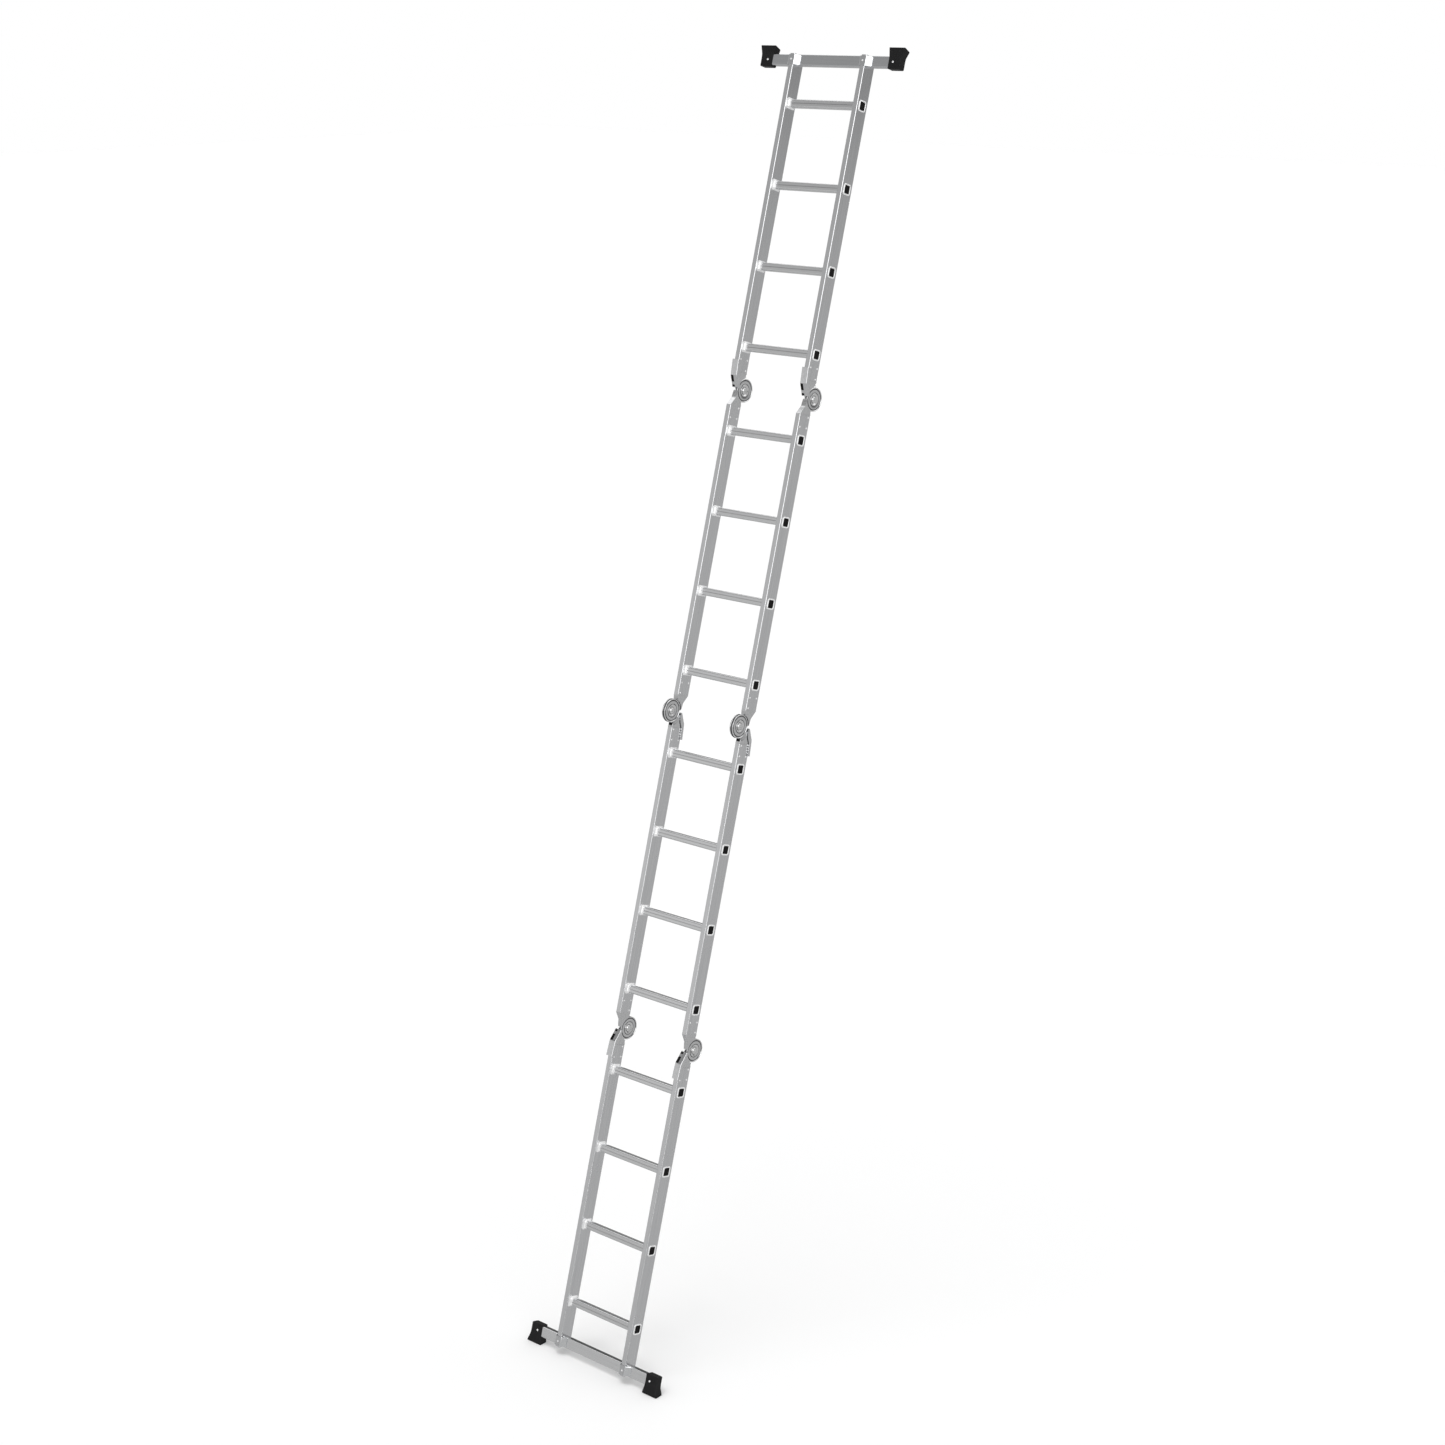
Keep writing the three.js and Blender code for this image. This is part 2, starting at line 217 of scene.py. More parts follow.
def dome(bm, centre, outward, radius=RIVET_RADIUS, height=RIVET_HEIGHT, steps=16, look=0):
    """A rivet's head standing on a face that points along outward."""
    outward = Vector(outward)
    side = outward.orthogonal().normalized()
    third = outward.cross(side)
    profile = [(1, -0.6), (1, 0), (0.97, 0.25), (0.82, 0.62), (0.55, 0.88), (0.25, 0.98)]
    rings = []
    for share, level in profile:
        ring = []
        for step in range(steps):
            angle = 2 * math.pi * step / steps
            spoke = side * math.cos(angle) + third * math.sin(angle)
            ring.append(Vector(centre) + spoke * radius * share + outward * height * level)
        rings.append(ring)
    loft(bm, rings, look=look)


def lathe(bm, profile, closed=True, steps=72, look=0):
    """Turns a profile of (radius, u) round the hinge's pivot."""
    rings = []
    for radius, u in profile:
        ring = []
        for step in range(steps):
            angle = 2 * math.pi * step / steps
            ring.append((PIVOT_OFFSET + radius * math.cos(angle), radius * math.sin(angle), u))
        rings.append(ring)
    loft(bm, rings, closed=closed, look=look)


def plate(bm, columns, lower, upper, half, rows=12):
    """A closed plate in the hinge's frame, from lower(a) to upper along b, half(a, b) thick."""
    sides = []
    for face in (1, -1):
        grid = []
        for a in columns:
            start = lower(a)
            heights = [start + (upper - start) * row / rows for row in range(rows + 1)]
            grid.append([bm.verts.new((a, b, face * half(a, b))) for b in heights])
        sides.append(grid)
    last = len(columns) - 1
    for grid in sides:
        for i in range(last):
            for j in range(rows):
                corners = (grid[i][j], grid[i + 1][j], grid[i + 1][j + 1], grid[i][j + 1])
                bm.faces.new(corners)
    border = [(i, 0) for i in range(last)] + [(last, j) for j in range(rows)]
    border += [(i, rows) for i in range(last, 0, -1)] + [(0, j) for j in range(rows, 0, -1)]
    for here, there in zip(border, border[1:] + border[:1]):
        first, second = sides
        bm.faces.new((
            first[here[0]][here[1]], first[there[0]][there[1]],
            second[there[0]][there[1]], second[here[0]][here[1]],
        ))


def round_edges(bm, width, steeper_than=50, segments=2, look=-1):
    """Bevels the steep edges. A look of -1 gives the bevels the look of their neighbours."""
    bm.normal_update()
    limit = math.radians(steeper_than)
    edges = [e for e in bm.edges if len(e.link_faces) == 2 and e.calc_face_angle(0) > limit]
    bmesh.ops.bevel(
        bm, geom=edges, offset=width, segments=segments, profile=0.6,
        affect="EDGES", clamp_overlap=True, material=look,
    )


# Materials

def shader(name, roughness, metallic, **inputs):
    """A new material, its node tree and its shader, with plain values set on the sockets."""
    material = bpy.data.materials.new(name)
    material.use_nodes = True
    tree = material.node_tree
    principled = tree.nodes["Principled BSDF"]
    principled.inputs["Roughness"].default_value = roughness
    principled.inputs["Metallic"].default_value = metallic
    for socket, value in inputs.items():
        principled.inputs[socket.replace("_", " ")].default_value = value
    return material, tree, principled


def noise(tree, stretch, detail=4.0, roughness=0.6):
    """Noise in the piece's own space, stretched along the direction of its grain."""
    place = tree.nodes.new("ShaderNodeTexCoord")
    mapping = tree.nodes.new("ShaderNodeMapping")
    mapping.inputs["Scale"].default_value = stretch
    texture = tree.nodes.new("ShaderNodeTexNoise")
    texture.inputs["Scale"].default_value = 1.0
    texture.inputs["Detail"].default_value = detail
    texture.inputs["Roughness"].default_value = roughness
    tree.links.new(place.outputs["Object"], mapping.inputs["Vector"])
    tree.links.new(mapping.outputs["Vector"], texture.inputs["Vector"])
    return texture.outputs["Fac"]


def ramp(tree, value, dark, light, low=0.3, high=0.7):
    """Turns a value into a colour between dark and light."""
    node = tree.nodes.new("ShaderNodeValToRGB")
    node.color_ramp.elements[0].position = low
    node.color_ramp.elements[0].color = (*dark, 1)
    node.color_ramp.elements[1].position = high
    node.color_ramp.elements[1].color = (*light, 1)
    tree.links.new(value, node.inputs["Fac"])
    return node.outputs["Color"]


def spread(tree, value, low, high):
    """Turns a value from 0 to 1 into one from low to high."""
    node = tree.nodes.new("ShaderNodeMapRange")
    node.inputs["To Min"].default_value = low
    node.inputs["To Max"].default_value = high
    tree.links.new(value, node.inputs["Value"])
    return node.outputs["Result"]


def bump(tree, principled, value, strength, distance):
    """Lets a value roughen the surface."""
    node = tree.nodes.new("ShaderNodeBump")
    node.inputs["Strength"].default_value = strength
    node.inputs["Distance"].default_value = distance
    tree.links.new(value, node.inputs["Height"])
    tree.links.new(node.outputs["Normal"], principled.inputs["Normal"])


def extruded_aluminium(name, grain, dark, light, roughness):
    """Mill-finish aluminium with faint die lines along the grain."""
    material, tree, principled = shader(name, roughness, 1.0)
    lines = noise(tree, grain)
    tree.links.new(ramp(tree, lines, dark, light), principled.inputs["Base Color"])
    cloudy = noise(tree, (9, 9, 9), detail=3.0)
    smudged = spread(tree, cloudy, roughness - 0.05, roughness + 0.08)
    tree.links.new(smudged, principled.inputs["Roughness"])
    bump(tree, principled, lines, 0.05, 0.0001)
    return material


def zinc_steel(name, dark, light, roughness):
    """Zinc-plated pressed steel, slightly mottled."""
    material, tree, principled = shader(name, roughness, 1.0)
    mottled = noise(tree, (160, 160, 160), detail=5.0)
    tree.links.new(ramp(tree, mottled, dark, light), principled.inputs["Base Color"])
    cloudy = noise(tree, (40, 40, 40), detail=2.0)
    smudged = spread(tree, cloudy, roughness - 0.06, roughness + 0.08)
    tree.links.new(smudged, principled.inputs["Roughness"])
    bump(tree, principled, mottled, 0.06, 0.0001)
    return material


def painted_highlight_metal(name):
    """A near-white, half-metallic finish: painted highlight on the swaged collars and rivet heads,
    which catch the light.
    """
    material, tree, principled = shader(name, 0.25, 0.4, Specular_IOR_Level=0.8)
    patchy = noise(tree, (220, 220, 220), detail=3.0)
    light = ramp(tree, patchy, (0.87, 0.875, 0.88), (0.96, 0.96, 0.96))
    tree.links.new(light, principled.inputs["Base Color"])
    tree.links.new(spread(tree, patchy, 0.16, 0.3), principled.inputs["Roughness"])
    return material


def moulded_rubber(name, dark, light, roughness):
    """Black moulded rubber with a fine grain and dusty patches."""
    material, tree, principled = shader(name, roughness, 0.0, Specular_IOR_Level=0.22)
    dusty = noise(tree, (60, 60, 60), detail=6.0)
    tree.links.new(ramp(tree, dusty, dark, light), principled.inputs["Base Color"])
    grain = noise(tree, (1500, 1500, 1500), detail=2.0)
    bump(tree, principled, grain, 0.35, 0.0004)
    smudged = spread(tree, dusty, roughness - 0.1, roughness + 0.1)
    tree.links.new(smudged, principled.inputs["Roughness"])
    return material


# name, stretch of the grain for extrusions, darkest and lightest colour, roughness
STILE_METAL = extruded_aluminium(
    "stile_aluminium_look", (420, 260, 5), (0.77, 0.775, 0.79), (0.85, 0.855, 0.865), 0.24)
RUNG_METAL = extruded_aluminium(
    "rung_aluminium_look", (6, 420, 420), (0.8, 0.805, 0.815), (0.88, 0.885, 0.89), 0.22)
# Darker aluminium for the rung's front groove: painted shade in the groove.
GROOVE_SHADE_ALUMINIUM = extruded_aluminium(
    "rung_groove_painted_shade_look", (6, 420, 420), (0.52, 0.52, 0.525), (0.62, 0.62, 0.63), 0.3)
BAR_METAL = {
    "bottom": extruded_aluminium(
        "bottom_bar_aluminium_look", (5, 360, 360),
        (0.86, 0.865, 0.875), (0.93, 0.935, 0.94), 0.15),
    # The top bar's copy of the aluminium is darker: painted shade.
    "top": extruded_aluminium(
        "top_bar_shaded_aluminium_look", (5, 360, 360),
        (0.64, 0.65, 0.665), (0.71, 0.72, 0.73), 0.15),
}
# The swaged collars and beads and all rivet heads are painted near white: painted highlight.
SWAGE_HIGHLIGHT_METAL = painted_highlight_metal("swage_painted_highlight_look")
RIVET_HIGHLIGHT_METAL = painted_highlight_metal("rivet_painted_highlight_look")
HINGE_METAL = zinc_steel("hinge_steel_look", (0.72, 0.725, 0.735), (0.86, 0.865, 0.87), 0.17)
# Nearly black steel for the cheeks' grooves, the dish round the bore and the tongue's rim: painted
# shade.
PAINTED_SHADE_STEEL = zinc_steel("hinge_groove_painted_shade_look", (0.1, 0.1, 0.105), (0.2, 0.2, 0.205), 0.4)
# The pin's steel, also lent to the cheeks' rims and dish walls and the shoulders' bevels: there
# its lighter colour is painted highlight, and its smoothness is the metal's.
PIN_STEEL_AND_HIGHLIGHT = zinc_steel("pin_steel_look", (0.88, 0.885, 0.89), (0.98, 0.98, 0.98), 0.12)
LEVER_METAL = zinc_steel("lever_steel_look", (0.76, 0.765, 0.78), (0.88, 0.885, 0.89), 0.22)
# A darker copy of the bracket's steel for its crown: painted shade on the front face.
CROWN_SHADE_STEEL = zinc_steel("bracket_crown_painted_shade_look", (0.7, 0.71, 0.72), (0.78, 0.785, 0.795), 0.14)
BRACKET_METAL = zinc_steel("bracket_steel_look", (0.84, 0.855, 0.87), (0.93, 0.94, 0.95), 0.09)
FOOT_RUBBER = moulded_rubber(
    "foot_rubber_look", (0.006, 0.006, 0.0065), (0.012, 0.012, 0.0125), 0.55)
# Near-black rubber for the plugs, and also for the black pieces of painted shade in the hinges'
# gaps and the lever's slots.
BLACK_RUBBER_AND_SHADE = moulded_rubber(
    "plug_rubber_and_gap_shade_look", (0.002, 0.002, 0.002), (0.005, 0.005, 0.005), 0.75)



# Pieces

def piece(name, bm, looks, body, slot, *nodes):
    """Makes an object of a mesh drawn in the ladder's frame and ties it to the CAD."""
    bmesh.ops.recalc_face_normals(bm, faces=bm.faces)
    bmesh.ops.scale(bm, vec=(METRES,) * 3, verts=bm.verts)
    for face in bm.faces:
        face.smooth = True
    mesh = bpy.data.meshes.new(name)
    bm.to_mesh(mesh)
    bm.free()
    mesh.set_sharp_from_angle(angle=math.radians(SHARP_ANGLE))
    for look in looks:
        mesh.materials.append(look)
    made = bpy.data.objects.new(name, mesh)
    bpy.context.scene.collection.objects.link(made)
    made.matrix_world = LADDER
    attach(made, body)
    if nodes:
        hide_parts(*nodes)
    return made


def stile(name, body, x, bottom, top):
    """A rounded rectangular tube that stands along z."""
    outer = rounded(STILE_WIDTH, STILE_DEPTH, STILE_CORNER)
    inside = (STILE_WIDTH - 2 * STILE_WALL, STILE_DEPTH - 2 * STILE_WALL)
    inner = rounded(*inside, STILE_CORNER - STILE_WALL)
    rings = []
    for outline, z in ((outer, bottom), (outer, top), (inner, top), (inner, bottom)):
        rings.append([(x + p.x, p.y, z) for p in outline])
    bm = bmesh.new()
    loft(bm, rings, closed=True)
    piece(f"{name}_profile", bm, [STILE_METAL], body, "stile_aluminium", name)


def flare(bm, start, direction, sizes, look):
    """A ring round the rung: (distance from start, depth, height, corner) from base to lip."""
    rings = []
    for distance, depth, height, corner in sizes:
        rings.append(crosswise(rounded(depth, height, corner), start + direction * distance))
    loft(bm, rings, closed=True, look=look)


def outer_bead():
    """The half-round rim that a rung's end is turned back into."""
    sunk = -0.5
    steps = 8
    sizes = [(sunk, RIM_DEPTH, RIM_HEIGHT, RIM_CORNER)]
    for step in range(steps + 1):
        angle = math.pi * step / steps
        share = (1 - math.cos(angle)) / 2
        depth = RIM_DEPTH + (PLUG_DEPTH - RIM_DEPTH) * share
        height = RIM_HEIGHT + (PLUG_HEIGHT - RIM_HEIGHT) * share
        corner = RIM_CORNER + (PLUG_CORNER - RIM_CORNER) * share
        sizes.append((RIM_PROUD * math.sin(angle), depth, height, corner))
    sizes.append((sunk, PLUG_DEPTH, PLUG_HEIGHT, PLUG_CORNER))
    return sizes


def inner_collar():
    """The collar that is swaged out of a rung on a stile's inner face."""
    fit = (RUNG_DEPTH - 1, RUNG_HEIGHT - 1, RUNG_CORNER)
    return [
        (-0.5, *fit),
        (-0.5, COLLAR_DEPTH, COLLAR_HEIGHT, 7),
        (0.8, COLLAR_DEPTH, COLLAR_HEIGHT, 7),
        (1.8, COLLAR_DEPTH - 5, COLLAR_HEIGHT - 1.2, 7),
        (3.4, RUNG_DEPTH + 8, RUNG_HEIGHT + 5.4, 6.6),
        (6.2, RUNG_DEPTH + 4, RUNG_HEIGHT + 3, 5.8),
        (COLLAR_LENGTH, RUNG_DEPTH + 1.6, RUNG_HEIGHT + 1.4, 5),
        (COLLAR_LENGTH, *fit),
    ]


# Look 1 is painted highlight on the beads and collars, look 2 painted shade in the front groove.
RUNG_LOOKS = [RUNG_METAL, SWAGE_HIGHLIGHT_METAL, GROOVE_SHADE_ALUMINIUM]
SWAGE_HIGHLIGHT, SHADED_GROOVE = 1, 2


def rung(name, body, z):
    """A grooved tube, swaged out on both faces of both stiles."""
    bm = bmesh.new()
    grooves = (TREAD_GROOVES, FRONT_GROOVES, TREAD_GROOVES, FRONT_GROOVES)
    outer = grooved(RUNG_DEPTH, RUNG_HEIGHT, RUNG_CORNER, grooves, GROOVE_DEPTH)
    thin = 2 * (RUNG_WALL + GROOVE_DEPTH)
    inner = grooved(RUNG_DEPTH - thin, RUNG_HEIGHT - thin, RUNG_CORNER - RUNG_WALL, grooves, 0)
    tube_across(bm, outer, inner, STILE_X + STILE_WIDTH / 2)
    # The front groove's faces take the darker look: painted shade.
    for face in bm.faces:
        centre = face.calc_center_median()
        full_length = abs(centre.x) < 1
        outside = abs(centre.y) > RUNG_DEPTH / 2 - 1
        if full_length and outside and abs(centre.z) < FRONT_GROOVES[1] / 2:
            face.material_index = SHADED_GROOVE
    for _, side in SIDES:
        # The beads and collars take the near-white look: painted highlight.
        flare(bm, side * (STILE_X + STILE_WIDTH / 2), side, outer_bead(), SWAGE_HIGHLIGHT)
        flare(bm, side * (STILE_X - STILE_WIDTH / 2), -side, inner_collar(), SWAGE_HIGHLIGHT)
    for vert in bm.verts:
        vert.co.z += z
    piece(f"{name}_tube", bm, RUNG_LOOKS, body, "rung_aluminium", name)


def plugs(name, body, z):
    """The black plugs in both ends of a rung, a tight fit in the bead."""
    depth, height = PLUG_DEPTH + PLUG_SQUEEZE, PLUG_HEIGHT + PLUG_SQUEEZE
    bm = bmesh.new()
    for _, side in SIDES:
        face = side * (STILE_X + STILE_WIDTH / 2)
        rings = []
        for proud, less in ((-6, 1), (0.5, 0), (0.9, 0.4), (1.1, 1.6), (1.1, 7), (0.6, 8)):
            outline = rounded(depth - less, height - less, PLUG_CORNER - less * 0.3)
            rings.append([(face + side * proud, p.x, z + p.y) for p in outline])
        loft(bm, rings)
    piece(f"{name}_plugs", bm, [BLACK_RUBBER_AND_SHADE], body, "black_rubber")


def build_sections():
    heights = [HINGE_HEIGHT[name] for name, *_ in HINGES]
    bottoms = [BOTTOM_END] + [height + HINGE_SETBACK for height in heights]
    tops = [height - HINGE_SETBACK for height in heights] + [TOP_END]
    for index, (bottom, top) in enumerate(zip(bottoms, tops)):
        body = f"section_{index + 1}"
        for side_name, side in SIDES:
            stile(f"{body}_{side_name}_stile", body, side * STILE_X, bottom, top)
        for step in range(RUNGS_PER_SECTION):
            name = f"{body}_rung_{step + 1}"
            z = spot(name).z
            rung(name, body, z)
            plugs(name, body, z)


def bar(name, body, z, look):
    """The hollow bar across one end of the ladder."""
    bm = bmesh.new()
    outer = rounded(BAR_DEPTH, BAR_HEIGHT, BAR_CORNER)
    inner = rounded(BAR_DEPTH - 2 * BAR_WALL, BAR_HEIGHT - 2 * BAR_WALL, BAR_CORNER - BAR_WALL)
    tube_across(bm, outer, inner, BAR_HALF_LENGTH)
    for vert in bm.verts:
        vert.co.z += z
    piece(f"{name}_tube", bm, [look], body, "bar_aluminium", name)


def foot(name, body, side, towards, end):
    """A rubber shoe that is waisted below the bar, flares to the sole and is cut level."""
    start = -(BAR_HEIGHT + FOOT_OVER_BAR)
    # distance beyond the stile's end, share of the flare, how far the outline is drawn in
    levels = [
        (start, 0, 2.5), (start + 1.2, 0, 0.8), (start + 3, 0, 0), (-FOOT_STRAIGHT - 10, 0, 0),
        (-FOOT_STRAIGHT, 0.02, 0), (-FOOT_STRAIGHT + 8, 0.12, 0), (4, 0.3, 0), (11, 0.56, 0),
        (16, 0.76, 0), (FOOT_REACH - 3, 0.95, 0), (FOOT_REACH - 2.6, 0.96, 0.7),
        (FOOT_REACH - 1.6, 0.98, 0.7), (FOOT_REACH - 1.2, 1, 0), (FOOT_REACH, 1, 1.2),
    ]
    rings = []
    for reach, flared, less in levels:
        inner = FOOT_INNER - FOOT_FLARE_INNER * flared + less
        outer = FOOT_OUTER + FOOT_FLARE_OUTER * flared - less
        levelled = eased((reach + FOOT_STRAIGHT) / (FOOT_REACH + FOOT_STRAIGHT))
        ring = []
        for p in rounded(outer - inner, FOOT_DEPTH - 2 * less, FOOT_CORNER - less):
            x = side * ((inner + outer) / 2 + p.x)
            z = end + towards * (reach - LEAN_SLOPE * levelled * p.y)
            ring.append((x, p.y, z))
        rings.append(ring)
    bm = bmesh.new()
    loft(bm, rings)
    piece(f"{name}_shoe", bm, [FOOT_RUBBER], body, "black_rubber", name)
    rivet_x = side * (FOOT_INNER + FOOT_RIVET_INSET)
    rivet_z = end - towards * FOOT_RIVET_INSET
    bm = bmesh.new()
    for front in (-1, 1):
        dome(bm, (rivet_x, front * FOOT_DEPTH / 2, rivet_z), (0, front, 0), radius=3.8, height=1.8)
    # The rivet heads take the near-white look: painted highlight.
    piece(f"{name}_rivets", bm, [RIVET_HIGHLIGHT_METAL], body, "pin_steel")


def bent_sheet(path, thickness, bend, steps=4, guard=0.4):
    """The outline of a sheet that follows a broken line, with rounded bends."""
    line = [Vector(path[0])]
    for before, corner, after in zip(path, path[1:], path[2:]):
        corner = Vector(corner)
        backwards = (Vector(before) - corner).normalized()
        onwards = (Vector(after) - corner).normalized()
        enter = corner + backwards * bend
        leave = corner + onwards * bend
        line.append(enter + backwards * guard)
        for step in range(steps + 1):
            share = step / steps
            line.append(enter.lerp(corner, share).lerp(corner.lerp(leave, share), share))
        line.append(leave + onwards * guard)
    line.append(Vector(path[-1]))
    sides = ([], [])
    for i, point in enumerate(line):
        run = (line[min(i + 1, len(line) - 1)] - line[max(i - 1, 0)]).normalized()
        out = Vector((run.y, -run.x)) * thickness / 2
        sides[0].append(point + out)
        sides[1].append(point - out)
    return sides[0] + sides[1][::-1]


BRACKET_LOOKS = [BRACKET_METAL, RIVET_HIGHLIGHT_METAL, CROWN_SHADE_STEEL]
RIVET, SHADED_CROWN = 1, 2


def end_bracket(name, body, side, towards, end):
    """A hat of bent sheet over the stile's front, riveted through its crown."""
    proud = BRACKET_SHEET / 2 + CLEARANCE
    crown_x = BRACKET_HALF_CROWN
    crown_y = -STILE_DEPTH / 2 - proud
    brim_y = -BAR_DEPTH / 2 - proud
    low = end - towards * BRACKET_INSET
    high = low - towards * BRACKET_HEIGHT
    edges = (
        (BRACKET_HALF_BRIM, low),
        (BRACKET_HALF_BRIM, high),
        (BRACKET_WEB_BRIM, high - towards * BRACKET_WEB),
    )
    bm = bmesh.new()
    rings = []
    for brim_x, z in edges:
        path = [(-brim_x, brim_y), (-crown_x, crown_y), (crown_x, crown_y), (brim_x, brim_y)]
        outline = bent_sheet(path, BRACKET_SHEET, BRACKET_BEND)
        rings.append([(side * STILE_X + p.x, p.y, z) for p in outline])
    loft(bm, rings)
    # The crown's faces take the darker copy: painted shade.
    for face in bm.faces:
        centre = face.calc_center_median()
        if abs(centre.x - side * STILE_X) < 1 and centre.y < brim_y:
            face.material_index = SHADED_CROWN
    # The rivet head takes the near-white look: painted highlight.
    rivet = (side * STILE_X, crown_y - BRACKET_SHEET / 2, end - towards * BRACKET_RIVET_INSET)
    dome(bm, rivet, (0, -1, 0), radius=3.4, look=RIVET)
    piece(f"{name}_sheet", bm, BRACKET_LOOKS, body, "bracket_steel", name)


def build_ends():
    for name, body, towards, end in ENDS:
        bar(f"{name}_bar", body, end - towards * BAR_HEIGHT / 2, BAR_METAL[name])
        for side_name, side in SIDES:
            foot(f"{name}_{side_name}_foot", body, side, towards, end)
            end_bracket(f"{name}_{side_name}_end_bracket", body, side, towards, end)


# Hinges

SHOULDER_TOP = HINGE_SETBACK - CLEARANCE
CLEAR_OF_DISC = DISC_RADIUS + 1
HINGE_LOOKS = [HINGE_METAL, PAINTED_SHADE_STEEL, PIN_STEEL_AND_HIGHLIGHT]
# Look 1 is painted shade in grooves and gaps, look 2 painted highlight on rims and edges.
PAINTED_SHADE, PAINTED_HIGHLIGHT = 1, 2
SHOULDER_FRONT = -28.1  # just inside the stile's front edge
HINGE_BEVEL = 1.4
# Lower edges of the two shoulders, as (a, b)
TONGUE_EDGE = [(-28.2, 57.4), (-8, 30), (-4, 5.2), (-3, 5), (25, 5), (26, 47), (28.3, 57)]
FORK_EDGE = [
    (-28.2, 57.4), (-19, 38), (-17.6, 29), (-10, 18), (-4, 5.2), (-3, 5), (25, 5), (26, 47),
    (28.3, 57),
]
# One side of a cheek as (radius, u): bore, dish, groove, flat, outer groove, rim
CHEEK_PROFILE = [
    (8.6, 3), (8.6, 3.4), (12.6, 3.4), (13.4, 3.7), (18, 6.7), (19, 7.1), (20.2, 7.1),
    (21.4, 6.4), (22, 5.4), (23.2, 5.4), (24, 5.8), (33.4, 5.7), (34.2, 4.7), (36.4, 4.7),
    (37.2, 5.8), (38, 6.6), (39, 7), (40, 6.8), (40.7, 6.2), (41, 5.2), (41, 3.4), (40.6, 3),
]
# A look, and the radii between which a cheek takes it: painted shade in the grooves and the dish
# round the bore, painted highlight on the dish's wall and the rim
CHEEK_LOOKS = (
    (PAINTED_SHADE, 33.5, 36.9),
    (PAINTED_SHADE, 21.5, 23.9),
    (PAINTED_SHADE, 9, 13),
    (PAINTED_HIGHLIGHT, 13.2, 21.5),
    (PAINTED_HIGHLIGHT, 37.3, 40.9),
)
# One side of the pin as (radius, u): shank, raised ring, domed head, dimple
PIN_PROFILE = [
    (8, 0), (8, 3.9), (11.6, 3.95), (12, 4.3), (11.6, 4.8), (8.8, 4.9), (8.4, 5.6), (7.4, 6.6),
    (5.6, 7.1), (4.2, 7), (3.2, 6.4), (1.6, 6.2), (0.2, 6.2),
]


def arc(radius):
    """The height over the pivot's level of a circle round the pivot, at each place along a."""
    return lambda a: math.sqrt(max(0.0, radius**2 - (a - PIVOT_OFFSET)**2))


def shoulder_columns(radius, first, left):
    """Places along a: even steps from first to left, the neck's side away from the disc, then
    to the disc, then even steps of angle round it."""
    disc_edge = PIVOT_OFFSET - radius
    places = [first + (left - first) * step / 8 for step in range(8)]
    places += [left + (disc_edge - left) * step / 3 for step in range(3)]
    for step in range(17):
        angle = math.radians(1 + 74 * step / 16)
        places.append(PIVOT_OFFSET - radius * math.cos(angle))
    return places


def shoulder_edge(outline, radius):
    """The lower edge of a shoulder: its outline, then the arc that clears the disc."""
    disc_edge = PIVOT_OFFSET - radius
    round_disc = arc(radius)

    def edge(a):
        if a < disc_edge:
            return between(outline, a)
        return max(round_disc(a), between(outline, a))
    return edge


def add_mesh(bm, other):
    """Moves one mesh into another."""
    mesh = bpy.data.meshes.new("part")
    other.to_mesh(mesh)
    other.free()
    bm.from_mesh(mesh)
    bpy.data.meshes.remove(mesh)


def paint(bm, look, low, high):
    """Gives a look to the faces between two radii of the disc."""
    for face in bm.faces:
        centre = face.calc_center_median()
        if low < math.hypot(centre.x - PIVOT_OFFSET, centre.y) < high:
            face.material_index = look


def tongue(bm):
    """The inner plate: a disc between the cheeks, a web and a shoulder cut round the disc."""
    rim = TONGUE_RADIUS
    bore = PIN_RADIUS + 0.6
    lathe(bm, [
        (bore, -TONGUE_HALF), (rim - 0.5, -TONGUE_HALF), (rim, 0.5 - TONGUE_HALF),
        (rim, TONGUE_HALF - 0.5), (rim - 0.5, TONGUE_HALF), (bore, TONGUE_HALF),
    ])
    # The tongue's rim is painted dark: painted shade in the gap between the cheeks.
    paint(bm, PAINTED_SHADE, rim - 0.6, rim + 0.1)
    web = [-6.5, -5, -3.5, -2, 0, 1.5, 3, 6, 9, 12, 15]
    web_edge = shoulder_edge([(-8, 28), (-4, 6), (-3, 5.4), (30, 5.4)], rim - 0.6)
    web_end = 42
    plate(bm, web, web_edge, web_end, lambda a, b: TONGUE_HALF - 0.05, rows=6)
    shoulder = bmesh.new()
    columns = shoulder_columns(CLEAR_OF_DISC, SHOULDER_FRONT, -8)
    plate(shoulder, columns, shoulder_edge(TONGUE_EDGE, CLEAR_OF_DISC), SHOULDER_TOP,
          lambda a, b: SHOULDER_HALF)
    # The bevels take the lighter pin steel: painted highlight on the edges.
    round_edges(shoulder, HINGE_BEVEL, look=PAINTED_HIGHLIGHT)
    add_mesh(bm, shoulder)


